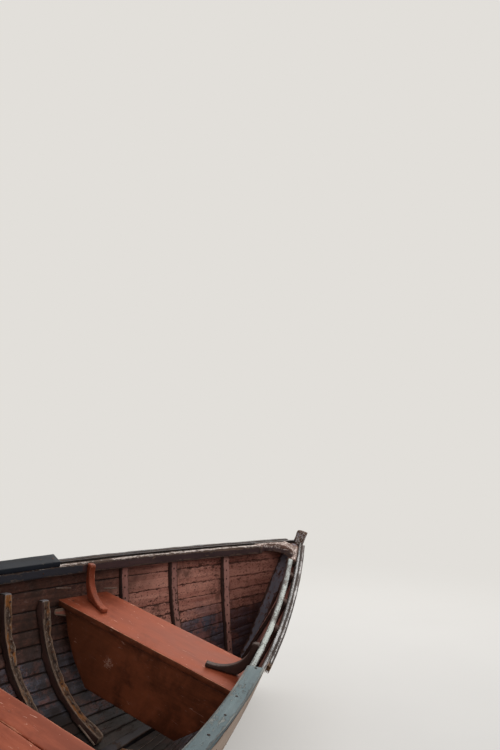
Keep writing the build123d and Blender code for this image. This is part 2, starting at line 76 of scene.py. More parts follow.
def regions(faces, limit):
    """Groups of faces that meet without an edge sharper than the limit between them."""
    left = dict.fromkeys(faces)
    groups = []
    while left:
        front = [next(iter(left))]
        del left[front[0]]
        group = []
        while front:
            face = front.pop()
            group.append(face)
            for edge in face.edges:
                if edge.calc_face_angle(0.0) <= limit:
                    for other in edge.link_faces:
                        if other in left:
                            del left[other]
                            front.append(other)
        groups.append(group)
    return groups


def welded(name):
    """The mesh of a CAD node with its faces joined along their edges."""
    bm = bmesh.new()
    bm.from_mesh(nodes[name].data)
    bmesh.ops.remove_doubles(bm, verts=bm.verts, dist=2e-5)
    bmesh.ops.dissolve_degenerate(bm, edges=bm.edges, dist=1e-6)
    return bm


def walk(edges):
    """Points along a chain of edges."""
    links = {}
    for edge in edges:
        for vert in edge.verts:
            links.setdefault(vert, []).append(edge)
    vert = next(v for v, joined in links.items() if len(joined) == 1)
    points = [vert.co.copy()]
    last = None
    while True:
        onward = [edge for edge in links[vert] if edge is not last]
        if not onward:
            return np.array(points)
        last = onward[0]
        vert = last.other_vert(vert)
        points.append(vert.co.copy())


def four_edges(solid):
    """The four long edges of a solid with four sides and two ends, in order round it."""
    for limit in (20, 30, 38):
        groups = regions(solid, math.radians(limit))
        if len(groups) == 6:
            break
    groups.sort(key=lambda group: sum(face.calc_area() for face in group))
    sides = [set(group) for group in groups[-4:]]
    shared = {}
    for face in solid:
        for edge in face.edges:
            pair = frozenset(n for n, side in enumerate(sides) for f in edge.link_faces if f in side)
            if len(pair) == 2:
                shared.setdefault(pair, {})[edge] = True
    for order in ((0, 1, 2, 3), (0, 2, 1, 3), (0, 1, 3, 2)):
        pairs = [frozenset((order[n], order[(n + 1) % 4])) for n in range(4)]
        if all(pair in shared for pair in pairs):
            break
    chains = [walk(shared[pair]) for pair in pairs]
    start = chains[0][0]
    nearer_end = [np.linalg.norm(c[0] - start) < np.linalg.norm(c[-1] - start) for c in chains]
    return [c if near else c[::-1] for c, near in zip(chains, nearer_end)]


def along(points, shares):
    """Points at shares of the length of a polyline."""
    steps = np.linalg.norm(np.diff(points, axis=0), axis=1)
    run = np.concatenate([[0], np.cumsum(steps)]) / steps.sum()
    return np.stack([np.interp(shares, run, points[:, axis]) for axis in range(3)], axis=1)


def unit(vectors):
    """Vectors of length 1, safe where one is zero."""
    return vectors / np.maximum(np.linalg.norm(vectors, axis=-1, keepdims=True), 1e-9)


def timber(chains, seed, radius, spacing, columns=3, band=0.009, erode=0.0, head=1.0):
    """Rings of points round a four-cornered stick with rounded, unevenly worn edges.

    chains are its four long edges in order. Each ring follows a side with columns points between
    two that lie band in from the edges. erode is the share eaten away at the corners, and head the
    wear that the last end carries. Returns points, faces, lengthwise coordinates and wear.
    """
    length = np.linalg.norm(np.diff(chains[0], axis=0), axis=1).sum()
    count = max(3, int(length / spacing) + 1)
    inset = min(0.3, radius / length)
    shares = np.concatenate([[0.0], np.linspace(inset, 1 - inset, count), [1.0]])
    corners = np.stack([along(chain, shares) for chain in chains])
    core = corners.mean(axis=0)
    for n in range(4):
        broad = np.array([noise.noise((s * length * 9, n * 3.3, seed)) for s in shares])
        fine = np.array([noise.noise((s * length * 31, n * 7.7, seed)) for s in shares])
        bite = np.clip(0.4 + broad + 0.5 * fine, 0, 1)[:, None]
        corners[n] += (core - corners[n]) * erode * bite
    rings = []
    perimeter = []
    edge = []
    run = 0.0
    for n in range(4):
        here, ahead, back = corners[n], corners[(n + 1) % 4], corners[n - 1]
        wide = np.maximum(np.linalg.norm(ahead - here, axis=1, keepdims=True), 1e-6)
        onward = (ahead - here) / wide
        backward = unit(back - here)
        worn = np.array([0.55 + 0.9 * noise.noise((s * length * 7, n * 5.1, seed)) for s in shares])
        round_off = radius * np.clip(worn + 0.45, 0.5, 1.6)[:, None]
        round_off = np.minimum(round_off, 0.3 * wide)
        margin = np.minimum(round_off + band, 0.42 * wide)
        stops = [
            (here + backward * round_off, 0.8, -radius),
            (here + (onward + backward) * CORNER * round_off, 1.0, 0),
            (here + onward * round_off, 0.8, radius),
            (here + onward * margin, 0.0, radius + band),
        ]
        mean = float(wide.mean())
        for k in range(columns):
            share = (k + 1) / (columns + 1)
            stops.append((here + onward * (margin + (wide - 2 * margin) * share), 0.0, mean * share))
        stops.append((ahead - onward * margin, 0.0, mean - radius - band))
        for points, worn_edge, place in stops:
            rings.append(points)
            edge.append(worn_edge)
            perimeter.append(run + place)
        run += mean
    rings = np.stack(rings, axis=1)
    middle = rings.mean(axis=1, keepdims=True)
    for ring, inward in ((0, 1), (-1, -2)):
        half = np.linalg.norm(rings[ring] - middle[ring], axis=1, keepdims=True)
        rings[ring] -= (rings[ring] - middle[ring]) * np.minimum(0.5, radius * 0.7 / half)
    side = len(edge)
    grid = np.arange(len(shares) * side).reshape(-1, side)
    nearer = np.roll(grid, -1, axis=1)
    quads = np.stack([grid[:-1], nearer[:-1], nearer[1:], grid[1:]], axis=-1).reshape(-1, 4).tolist()
    quads += [grid[0][::-1].tolist(), grid[-1].tolist()]
    lengthwise = np.repeat(shares * length, side) + seed * 3.7
    around = np.tile(perimeter, len(shares)) + seed * 1.3
    grain = np.stack([lengthwise, around, np.full(len(around), seed * 0.9)], axis=1)
    ends = np.zeros((len(shares), side))
    ends[[0, -1]] = [[1.0], [head]]
    worn_edges = np.maximum(np.tile(edge, len(shares)), ends.ravel())
    return rings.reshape(-1, 3), quads, grain, worn_edges


def join(name, parts, tones, body_nodes, materials, rule=None):
    """One object from several sticks: it carries grain, wear and tone, and stands for the nodes."""
    points, faces, grain, edge, tone = [], [], [], [], []
    start = 0
    for (place, quads, fibres, worn), shade in zip(parts, tones):
        points.append(place)
        faces += [[index + start for index in quad] for quad in quads]
        grain.append(fibres)
        edge.append(worn)
        tone.append(np.full(len(place), shade))
        start += len(place)
    mesh = bpy.data.meshes.new(name)
    mesh.from_pydata(np.concatenate(points).tolist(), [], faces)
    bm = bmesh.new()
    bm.from_mesh(mesh)
    bmesh.ops.recalc_face_normals(bm, faces=bm.faces)
    bm.to_mesh(mesh)
    bm.free()
    return furnish(mesh, name, np.concatenate(grain), np.concatenate(edge), np.concatenate(tone),
                   body_nodes, materials, rule)


def furnish(mesh, name, grain, edge, tone, body_nodes, materials, rule=None):
    """Object on the boat's body with its attributes, and each face's finish chosen by a rule."""
    mesh.attributes.new("grain", "FLOAT_VECTOR", "POINT").data.foreach_set("vector", grain.ravel())
    mesh.attributes.new("edge", "FLOAT", "POINT").data.foreach_set("value", edge)
    mesh.attributes.new("tone", "FLOAT", "POINT").data.foreach_set("value", tone)
    for material in materials:
        mesh.materials.append(material)
    for face in mesh.polygons:
        face.use_smooth = True
        if rule:
            face.material_index = rule(np.array(face.normal), np.array(face.center))
    piece = bpy.data.objects.new(name, mesh)
    bpy.context.scene.collection.objects.link(piece)
    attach(piece, "root")
    if body_nodes:
        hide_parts(*body_nodes)
    return piece


def srgb(red, green, blue):
    """Scene-linear colour from the usual 0 to 255 values."""
    levels = [value / 255 for value in (red, green, blue)]
    return tuple(v / 12.92 if v <= 0.04045 else ((v + 0.055) / 1.055) ** 2.4 for v in levels) + (1.0,)


class Wire:
    """One socket in a node tree. An expression on it adds Math nodes."""

    def __init__(self, tree, socket=None):
        self.tree = tree
        self.socket = socket

    def add(self, kind, settings, sockets, output=0):
        """A new node, its settings made and its sockets filled, as the wire from one output."""
        node = self.tree.nodes.new(kind)
        for key, value in settings.items():
            setattr(node, key, value)
        for key, value in sockets.items():
            if isinstance(value, Wire):
                self.tree.links.new(value.socket, node.inputs[key])
            else:
                node.inputs[key].default_value = value
        return Wire(self.tree, node.outputs[output] if node.outputs else None)

    def sum(self, operation, first, second):
        """A Math node on two wires or numbers."""
        return self.add("ShaderNodeMath", {"operation": operation}, {0: first, 1: second})

    def __add__(self, other):
        return self.sum("ADD", self, other)

    def __radd__(self, other):
        return self.sum("ADD", other, self)

    def __sub__(self, other):
        return self.sum("SUBTRACT", self, other)

    def __rsub__(self, other):
        return self.sum("SUBTRACT", other, self)

    def __mul__(self, other):
        return self.sum("MULTIPLY", self, other)

    def __rmul__(self, other):
        return self.sum("MULTIPLY", other, self)

    def step(self, low, high):
        """0 below low and 1 above high, smooth between them."""
        return self.add("ShaderNodeMapRange", {"interpolation_type": "SMOOTHSTEP"},
                        {"Value": self, "From Min": low, "From Max": high})

    def tint(self, *ends):
        """Colour between two, wires or 0 to 255 values: the first where this is 0."""
        off, on = [end if isinstance(end, Wire) else srgb(*end) for end in ends]
        return self.add("ShaderNodeMix", {"data_type": "RGBA"}, {0: self, 6: off, 7: on}, 2)

    def stretch(self, *factors):
        """This vector times a factor on each axis."""
        return self.add("ShaderNodeVectorMath", {"operation": "MULTIPLY"}, {0: self, 1: factors})

    def cloud(self, scale, detail=4.0, rough=0.55, bend=0.0):
        """Noise over this vector."""
        return self.add("ShaderNodeTexNoise", {}, {"Vector": self, "Scale": scale, "Detail": detail,
                                                   "Roughness": rough, "Distortion": bend})

    def named(self, name, output="Fac"):
        """An attribute of the mesh."""
        return self.add("ShaderNodeAttribute", {"attribute_name": name}, {}, output)

    def place(self):
        """Where the point is, in the boat's own frame."""
        return self.add("ShaderNodeTexCoord", {}, {}, "Object")


def layered(colour, *coats):
    """A colour under coats, each given as its cover and its own colour."""
    for cover, hue in coats:
        colour = cover.tint(colour, hue)
    return colour


def finish(name, recipe, depth, sheen=0.25):
    """Material from a recipe for its colour, roughness and relief, with the depth of that relief."""
    material = bpy.data.materials.new(name)
    material.use_nodes = True
    material.node_tree.nodes.clear()
    wire = Wire(material.node_tree)
    colour, roughness, height = recipe(wire)
    bump = wire.add("ShaderNodeBump", {}, {"Strength": 0.9, "Distance": depth, "Height": height})
    surface = wire.add("ShaderNodeBsdfPrincipled", {}, {
        "Base Color": colour, "Roughness": roughness, "Normal": bump, "Specular IOR Level": sheen})
    wire.add("ShaderNodeOutputMaterial", {}, {"Surface": surface})
    return material


def old_paint(wire, paint, bare, lost, edge_lost, flake, gloss, grime, dirt, blotch, under=None,
              rim_width=0.032, lay=(0.7, 1.5, 1.5)):
    """Brush paint over weathered wood, faded in patches, flaked to the undercoat, worn from the edges.

    paint, bare, dirt and under are colours from 0 to 255, lost and edge_lost say how much has gone,
    flake and blotch how fine the flakes and the worn patches are, and lay which way flakes run.
    """
    grain = wire.named("grain", "Vector")
    edge = wire.named("edge")
    tone = wire.named("tone")
    place = wire.place()
    ridges = grain.stretch(5, 110, 110).cloud(1.0, 5.0, 0.6, 0.3)
    fibres = grain.stretch(28, 700, 700).cloud(1.0, 2.0)
    patches = place.cloud(blotch, 4.0, 0.6)
    fading = grain.stretch(1.6, 9, 9).cloud(1.7, 5.0, 0.6)
    chips = grain.stretch(*lay).cloud(flake, 6.0, 0.68, 0.4)
    loss = chips * 0.55 + patches * 0.35 + ridges * 0.25 + edge * edge_lost + tone * 0.05
    limit = 0.86 - lost * 0.34
    gone = loss.step(limit - 0.008, limit + 0.012)
    rim = loss.step(limit - rim_width, limit - rim_width * 0.6) * (1 - gone)
    new = (fading * 0.7 + tone * 0.45).step(0.3, 0.8).tint(*paint)
    wood = (ridges * 0.8 + fibres * 0.3).step(0.35, 0.75).tint(*bare)
    stain = (grain.stretch(2.2, 7, 7).cloud(2.3, 6.0, 0.7) * 0.75 + edge * 0.12).step(0.42, 0.72) * grime
    cover = rim * (0.9 if under else 0.45)
    colour = layered(new, (gone, wood), (cover, under or dirt), (stain, dirt))
    roughness = gloss + (0.86 - gloss) * gone + (patches - 0.5) * 0.25 + stain * 0.15
    height = (1 - gone) * 0.55 + ridges * (0.18 + 0.5 * gone) + fibres * 0.12 + chips * 0.12
    return colour, roughness, height


def painted(name, depth, sheen=0.25, **coat):
    """Material of old paint."""
    return finish(name, lambda wire: old_paint(wire, **coat), depth, sheen)


def faded_inside(wire):
    """Mauve paint in the bow, maroon further aft darkened by dirt and by painted shade, slate lower down,
    open seams, and painted shade low in the bilge.
    """
    grain = wire.named("grain", "Vector")
    edge = wire.named("edge")
    share = wire.named("share")
    tone = wire.named("tone")
    place = wire.place()
    ahead = wire.add("ShaderNodeSeparateXYZ", {}, {0: place}, "X")
    ridges = grain.stretch(5, 110, 110).cloud(1.0, 5.0, 0.6, 0.3)
    fibres = grain.stretch(30, 650, 650).cloud(1.0, 2.0)
    patches = place.cloud(3.4, 5.0, 0.62)
    mottle = grain.stretch(0.75, 1.5, 1.5).cloud(38.0, 6.0, 0.72, 0.5)
    mildew = grain.stretch(0.9, 1.3, 1.3).cloud(105.0, 3.0, 0.6)
    streaks = grain.stretch(1.4, 16, 16).cloud(2.0, 5.0, 0.62)
    low = (share + (patches - 0.5) * 0.6 + (tone - 0.5) * 0.16).step(0.74, 0.46)
    # Further aft the planks turn dark maroon: partly dirt, partly painted shade.
    aft = (ahead + (patches - 0.5) * 0.8).step(1.42, 1.06)
    mauve = (streaks * 0.7 + tone * 0.3).step(0.3, 0.7).tint((152, 92, 79), (208, 148, 131))
    maroon = streaks.step(0.3, 0.7).tint((56, 34, 26), (96, 61, 50))
    slate = streaks.step(0.32, 0.68).tint((48, 46, 55), (98, 99, 113))
    loss = mottle * 0.6 + patches * 0.3 + ridges * 0.2 + edge * 0.1
    chipped = loss.step(0.62, 0.645)
    wood = (ridges * 0.7 + fibres * 0.4).step(0.35, 0.8).tint((46, 28, 26), (98, 64, 54))
    blush = (place.cloud(11.0, 6.0, 0.74) + low * 0.12).step(0.61, 0.7)
    dots = (mildew + patches * 0.4).step(0.765, 0.81)
    pale = (mottle + fibres * 0.15).step(0.3, 0.26)
    crust = grain.stretch(0.8, 1.4, 1.4).cloud(52.0, 6.0, 0.78, 0.6)
    seam = (edge + (mottle - 0.5) * 0.7 + aft * 0.22 + low * 0.1).step(0.86, 1.06)
    runs = place.stretch(1.0, 1.0, 0.55).cloud(4.2, 7.0, 0.72)
    stain = (runs + (1 - share) * 0.16 + aft * 0.06).step(0.55, 0.7)
    # Painted shade: the planks darken towards the bottom and further aft.
    bilge_shade = (share + (patches - 0.5) * 0.3 + (ahead - 0.7) * 0.1).step(0.5, 0.2)
    bow_dirt = (ahead + (patches - 0.5) * 0.4).step(1.6, 2.0)
    colour = layered(
        mauve, (aft, maroon), (low, slate), (chipped * 0.9, wood), (blush * 0.6, (152, 98, 88)),
        (dots * 0.8, (62, 38, 34)), (pale * 0.55, (206, 176, 168)),
        (crust.step(0.54, 0.66) * (low * 0.3 + aft * 0.25), (136, 116, 112)),
        (crust.step(0.46, 0.37) * 0.5, (44, 28, 24)), (seam * 0.8, (30, 20, 19)),
        (stain * 0.72, (38, 26, 21)), (bilge_shade * 0.78, (27, 20, 14)), (bow_dirt * 0.42, (86, 46, 36)))
    roughness = 0.62 + chipped * 0.2 + (patches - 0.5) * 0.25
    height = (1 - chipped) * 0.5 + ridges * 0.3 + fibres * 0.12 - seam * 0.7
    return colour, roughness, height


inside_paint = finish("inside_paint", faded_inside, 0.0016)
outside_paint = painted(
    "outside_paint", 0.0014, paint=((138, 117, 103), (176, 154, 137)),
    bare=((76, 62, 54), (130, 112, 96)), lost=0.46, edge_lost=0.12, flake=30.0, gloss=0.6, grime=0.6,
    dirt=(62, 50, 48), blotch=2.1)


def girth(point):
    """Angle round the hull from the keel line up towards the sheer."""
    arm = point - HULL_AXIS
    return math.atan2(abs(float(arm @ PORT)), float(-(arm @ UP)))


def outward(point):
    """Unit vector away from the hull's axis, square to it."""
    arm = (point - HULL_AXIS) * [0, 1, 1]
    return arm / np.linalg.norm(arm)


def altitude(point):
    """How far up a point lies, square to the keel."""
    return float(point @ UP)


def port_side(point):
    """True to port of the keel's plane, whichever way the boat heels."""
    return (point - KEEL_LINE) @ PORT > 0


def outer_face(normal, centre):
    """1 on the outer face of a plank, 0 on its inner face."""
    abeam = PORT if port_side(centre) else -PORT
    return int(normal @ (abeam - UP) > 0.3)


def aft_first(chains):
    """Chains turned to run from aft forward."""
    return [chain if chain[0][0] < chain[-1][0] else chain[::-1] for chain in chains]


def rebuilt(node, piece_name, slot, materials, rule, turned, seeds, radius, spacing, **shape):
    """Build the sticks of a node again as one object. Returns it and their long edges."""
    bm = welded(node)
    parts = []
    tones = []
    sticks = []
    for index, solid in enumerate(regions(bm.faces, math.pi)):
        chains = turned(four_edges(solid))
        sticks.append(chains)
        seed, tone_seed = seeds(index)
        parts.append(timber(chains, seed, radius, spacing, **shape))
        tones.append(0.5 + 0.5 * noise.noise(tone_seed))
    bm.free()
    return join(piece_name, parts, tones, [node], materials, rule), sticks


# Each mesh carries grain (coordinates along and round the stick), edge (its wear) and tone, which
# differs from stick to stick. Planks also carry share, their height in the side.
strake_chains = {}
for number in range(1, STRAKES + 1):
    node = f"strake_{number:02d}"
    plank, strake_chains[number] = rebuilt(
        node, node + "_planks", "planking", [inside_paint, outside_paint], outer_face, aft_first,
        lambda index: (number * 2 + index, ((number * 2 + index) * 3.1, 0.7, 0.2)),
        PLANK_EDGE_RADIUS, 0.05)
    share = plank.data.attributes.new("share", "FLOAT", "POINT")
    height = (number - 0.5) / STRAKES
    share.data.foreach_set("value", np.full(len(plank.data.vertices), height, np.float32))


def at_x(chain, stations):
    """Points of a fore-and-aft chain at given x."""
    return np.stack([np.interp(stations, chain[:, 0], chain[:, axis]) for axis in range(3)], axis=1)


def ranked(chains, measure):
    """Chains in order of a measure of their middle point."""
    return sorted(chains, key=lambda chain: measure(chain[len(chain) // 2]))


def reach(point):
    """Distance from the hull's axis."""
    return np.linalg.norm((point - HULL_AXIS)[1:])


def caulk_and_shade_finish(wire):
    """Cotton and old putty, black with dirt; also laid as painted shade on the sheer strake's inner face
    down in the slot.
    """
    place = wire.place()
    crumbs = place.cloud(90.0, 5.0, 0.7)
    return crumbs.step(0.45, 0.7).tint((20, 16, 15), (58, 46, 40)), 0.9 - crumbs * 0.1, crumbs


# Also laid as painted shade on the sheer strake's inner face in the slot by the inwale.
caulk_and_slot_shade = finish("caulk_and_slot_shade", caulk_and_shade_finish, 0.001)

# A strip between each pair of planks closes the seam at a third of its depth.
parts = []
for number in range(1, STRAKES):
    for index in (0, 1):
        below = ranked(ranked(strake_chains[number][index], girth)[2:], reach)
        above = ranked(ranked(strake_chains[number + 1][index], girth)[:2], reach)
        first = max(chain[0][0] for chain in below + above)
        last = min(chain[-1][0] for chain in below + above)
        stations = np.linspace(first, last, 60)
        under = [at_x(chain, stations) for chain in below]
        over = [at_x(chain, stations) for chain in above]
        stick = []
        for depth, rows in ((0.3, 1), (0.62, 1), (0.62, -1), (0.3, -1)):
            low_row = under[0] + (under[1] - under[0]) * depth
            high_row = over[0] + (over[1] - over[0]) * depth
            half = (low_row - high_row) * 0.5 + unit(low_row - high_row) * 0.001
            stick.append((low_row + high_row) * 0.5 + half * rows)
        parts.append(timber(stick, number + index * 0.5, 0.0002, 0.12, 0, 0.0003))
join("caulking", parts, [0.5] * len(parts), [], [caulk_and_slot_shade])

# Backbone
# Oak keel with deadwood, stem with its head standing above the gunwale, apron inside it, hog
# and sternpost. Sawn timber, painted once: the head has flaked to dark wood with pale flecks.

WEAR_WIDTH = 0.008
MARK_SPACING = 0.006


def marked(edges):
    """Search tree of points along edges."""
    marks = []
    for edge in edges:
        a, b = edge.verts[0].co, edge.verts[1].co
        count = max(2, int((b - a).length / MARK_SPACING))
        marks += [a.lerp(b, k / count) for k in range(count + 1)]
    tree = KDTree(len(marks))
    for k, mark in enumerate(marks):
        tree.insert(mark, k)
    tree.balance()
    return tree


def refine(bm, spacing):
    """Triangles no longer than about the spacing, with no face there twice."""
    bmesh.ops.remove_doubles(bm, verts=bm.verts, dist=1e-5)
    bmesh.ops.dissolve_degenerate(bm, edges=bm.edges, dist=1e-5)
    bmesh.ops.triangulate(bm, faces=bm.faces)
    for _ in range(7):
        long_ones = [e for e in bm.edges if e.calc_length() > spacing * 1.5]
        if not long_ones or len(bm.faces) > 90000:
            break
        bmesh.ops.subdivide_edges(bm, edges=long_ones, cuts=1)
        bmesh.ops.triangulate(bm, faces=[f for f in bm.faces if len(f.verts) > 3])
    twins = {}
    for face in bm.faces:
        twins.setdefault(frozenset(face.verts), []).append(face)
    bmesh.ops.delete(bm, geom=[face for group in twins.values() for face in group[1:]], context="FACES")
    bmesh.ops.recalc_face_normals(bm, faces=bm.faces)
    bm.verts.index_update()


def fibres(bm, seed, fibre_axis):
    """Coordinates along and across the fibres of each solid, and its tone."""
    grain = np.zeros((len(bm.verts), 3))
    tone = np.zeros(len(bm.verts))
    for number, solid in enumerate(regions(bm.faces, math.pi)):
        verts = list(dict.fromkeys(v for f in solid for v in f.verts))
        place = np.array([v.co for v in verts])
        centre = place.mean(axis=0)
        axes = np.linalg.svd(place - centre, full_matrices=False)[2]
        if fibre_axis is not None:
            first = np.array(fibre_axis, float)
            second = np.cross(first, [0, 0.3, 1.0])
            axes = np.array([first, unit(second), np.cross(first, unit(second))])
        local = (place - centre) @ axes.T + seed * 1.7 + number * 2.3
        for vert, spot in zip(verts, local):
            grain[vert.index] = spot
            tone[vert.index] = 0.5 + 0.5 * noise.noise((number * 2.7, seed, 0.4))
    return grain, tone


def carved(name, piece_name, radius, spacing, materials, rule=None, seed=1.0, fibre_axis=None,
           limit=30, decay=0.0):
    """Copy of a sawn piece with its sharp edges rounded, and eaten away by up to about decay."""
    bm = welded(name)
    bmesh.ops.dissolve_limit(bm, angle_limit=math.radians(0.8), verts=bm.verts, edges=bm.edges)
    edges = [e for e in bm.edges if e.calc_face_angle(0.0) > math.radians(limit)]
    tree = marked(edges)
    bmesh.ops.bevel(
        bm, geom=edges, offset=radius, segments=2, affect="EDGES", profile=0.6, clamp_overlap=True)
    refine(bm, spacing)
    grain, tone = fibres(bm, seed, fibre_axis)
    edge = np.array([max(0.0, 1 - tree.find(v.co)[2] / (WEAR_WIDTH + radius)) for v in bm.verts])
    bm.normal_update()
    for vert in bm.verts:
        bite = 0.5 + noise.noise(vert.co * 42) + 0.6 * noise.noise(vert.co * 110)
        vert.co -= vert.normal * decay * edge[vert.index] * min(max(bite, 0.0), 1.4)
    mesh = bpy.data.meshes.new(piece_name)
    bm.to_mesh(mesh)
    bm.free()
    mesh.update()
    return furnish(mesh, piece_name, grain, edge, tone, [name], materials, rule)


stem_paint = painted(
    "stem_paint", 0.0022, paint=((58, 52, 64), (126, 120, 136)), bare=((38, 26, 21), (104, 78, 62)),
    lost=0.8, edge_lost=0.06, flake=100.0, gloss=0.55, grime=0.35, dirt=(28, 20, 20), blotch=9.0,
    under=(210, 200, 194), rim_width=0.03, lay=(1.1, 1.2, 1.2))
keel_wood = painted(
    "keel_wood", 0.002, paint=((110, 84, 78), (132, 112, 106)), bare=((74, 58, 46), (120, 100, 82)),
    lost=0.78, edge_lost=0.2, flake=34.0, gloss=0.7, grime=0.6, dirt=(48, 38, 32), blotch=2.6)
apron_paint = painted(
    "apron_paint", 0.0016, paint=((84, 80, 90), (134, 130, 142)), bare=((54, 36, 32), (96, 68, 60)),
    lost=0.6, edge_lost=0.2, flake=54.0, gloss=0.6, grime=0.5, dirt=(36, 26, 26), blotch=6.0,
    under=(132, 100, 100), rim_width=0.02)
carved("stem", "stem_timber", 0.009, 0.009, [stem_paint], seed=2.0, limit=24, decay=0.005)
carved("keel", "keel_timber", 0.004, 0.03, [keel_wood], seed=3.0)
carved("sternpost", "sternpost_timber", 0.004, 0.02, [keel_wood], seed=4.0)
carved("apron", "apron_timber", 0.003, 0.02, [apron_paint], seed=5.0, decay=0.003)
bilge_wood = painted(
    "bilge_wood", 0.0016, paint=((36, 32, 35), (60, 56, 62)), bare=((30, 23, 21), (70, 54, 46)),
    lost=0.5, edge_lost=0.2, flake=40.0, gloss=0.6, grime=0.7, dirt=(18, 15, 15), blotch=5.0)
carved("hog", "hog_batten", 0.003, 0.03, [bilge_wood], seed=6.0)

# Frames
# Steam-bent timbers nailed through every plank, crook frames of sawn oak whose bare heads stop
# short of the gunwale, and floors across the keel. The crooks have lost their paint and gone
# ochre with rot, and the after faces of all the frames are painted dark as shade.


def ochre_wood(wire):
    """Bare grey-brown wood with soft ochre rot along the fibres."""
    grain = wire.named("grain", "Vector")
    edge = wire.named("edge")
    place = wire.place()
    ridges = grain.stretch(7, 95, 95).cloud(1.0, 6.0, 0.65, 0.8)
    fibres = grain.stretch(34, 600, 600).cloud(1.0, 2.0)
    patches = place.cloud(7.0, 5.0, 0.6)
    rot = (grain.stretch(6, 20, 20).cloud(1.3, 5.0, 0.7) * 0.7 + patches * 0.4).step(0.52, 0.63)
    wood = (ridges * 0.75 + fibres * 0.25 + edge * 0.18).step(0.36, 0.82)
    wood = wood.tint((40, 29, 25), (116, 92, 76))
    split = grain.stretch(3, 60, 60).cloud(1.4, 3.0, 0.5, 0.6).step(0.36, 0.3)
    left = (patches + grain.stretch(3, 8, 8).cloud(3.0, 5.0) * 0.5 - edge * 0.2).step(0.9, 0.93)
    worn = (edge * 0.5 + ridges * 0.6 + patches * 0.4).step(0.78, 0.9)
    flecks = grain.stretch(0.7, 1.6, 1.6).cloud(80.0, 6.0, 0.78, 0.4)
    head = (edge + (patches - 0.5)).step(1.1, 1.5)
    colour = layered(
        wood, (rot * 0.8, (150, 92, 38)), (split * 0.8, (26, 18, 16)), (left * 0.7, (120, 74, 68)),
        (worn * 0.4, (138, 124, 112)), (flecks.step(0.52, 0.62) * 0.65, (158, 142, 130)),
        (flecks.step(0.42, 0.34) * 0.55, (28, 20, 17)), (head * 0.7, (128, 132, 142)))
    return colour, 0.82 - left * 0.15 + (ridges - 0.5) * 0.1, ridges * 0.8 + fibres * 0.2 - split * 0.8


crook_wood = finish("crook_wood", ochre_wood, 0.0032)
# Dark wood laid as painted shade on the after faces of the frames and on the starboard knee.
shade_side_wood = painted(
    "shade_side_wood", 0.0022, paint=((50, 34, 31), (80, 56, 50)), bare=((32, 23, 20), (70, 52, 44)),
    lost=0.5, edge_lost=0.1, flake=60.0, gloss=0.65, grime=0.6, dirt=(18, 14, 14), blotch=5.0)
timber_paint = painted(
    "timber_paint", 0.0016, paint=((134, 88, 80), (180, 132, 122)), bare=((48, 32, 28), (104, 74, 62)),
    lost=0.5, edge_lost=0.12, flake=64.0, gloss=0.6, grime=0.6, dirt=(34, 22, 20), blotch=4.0)


def after_face(normal, centre):
    """1 on faces that look aft."""
    return int(normal[0] < -0.6)


def foot_first(chains):
    """Chains turned to run from the keel up."""
    return [chain if girth(chain[0]) < girth(chain[-1]) else chain[::-1] for chain in chains]


# The after faces of every frame take the dark wood, a painted shade.
# Node, piece, finish, edge radius, share eaten away, wear at the head
frame_chains = []
for node, piece_name, paint, radius, erode, head in (
    ("bow_timbers", "bow_ribs", timber_paint, 0.003, 0.05, 3.0),
    ("main_timbers", "main_ribs", timber_paint, 0.003, 0.05, 3.0),
    ("crook_frames", "crook_ribs", crook_wood, 0.006, 0.42, 2.5),
):
    frame_chains += rebuilt(
        node, piece_name, "bare_timber", [paint, shade_side_wood], after_face, foot_first,
        lambda index: (index * 1.9 + len(node), (index * 3.3, 1.7, 0.2)), radius, 0.025, columns=1,
        erode=erode, head=head)[1]
carved("floors", "floor_timbers", 0.005, 0.02, [crook_wood], seed=7.0, fibre_axis=PORT,
       decay=0.005)

# Fastenings
# Galvanised nails hold each plank to each timber: their ends are clenched over roves on the
# inside, where they have bled black, and their flat heads lie flush outside.


def stud(radius, height, sides=9):
    """Low dome with a nib, as points and faces, standing on z 0."""
    rings = ((1.0, 0.0), (0.86, 0.72), (0.42, 0.9), (0.3, 1.0))
    circle = [(math.cos(2 * math.pi * k / sides), math.sin(2 * math.pi * k / sides)) for k in range(sides)]
    points = [(radius * size * x, radius * size * y, height * z) for size, z in rings for x, y in circle]
    faces = []
    for low in range(0, (len(rings) - 1) * sides, sides):
        for k in range(sides):
            ahead = (k + 1) % sides
            faces.append([low + k, low + ahead, low + sides + ahead, low + sides + k])
    return np.array(points), faces + [list(range(low + sides, low + 2 * sides))]


def scatter(name, shape, spots, material, size_change=0.3):
    """Copies of a small shape at (point, normal) spots, as one piece."""
    points, faces = shape
    places = []
    polygons = []
    for number, (spot, normal) in enumerate(spots):
        turn = Vector(normal).to_track_quat("Z", "Y").to_matrix()
        size = 1 + size_change * noise.noise((number * 1.37, 0.3, 0.9))
        places.append(points * size @ np.array(turn).T + spot)
        polygons += [[index + number * len(points) for index in face] for face in faces]
    place = np.concatenate(places)
    mesh = bpy.data.meshes.new(name)
    mesh.from_pydata(place.tolist(), [], polygons)
    tones = [0.5 + 0.5 * noise.noise((number * 0.77, 4.0, 1.0)) for number in range(len(spots))]
    tone = np.repeat(tones, len(points))
    return furnish(mesh, name, place, np.zeros(len(place)), tone, [], [material])


def rusty(wire):
    """Galvanised steel, dull and bled with rust."""
    place = wire.place()
    tone = wire.named("tone")
    rust = (place.cloud(160.0, 5.0, 0.7) * 0.8 + tone * 0.3).step(0.42, 0.72)
    colour = rust.tint((44, 38, 38), (82, 48, 34))
    return colour, 0.62 + rust * 0.25, place.cloud(420.0, 3.0)


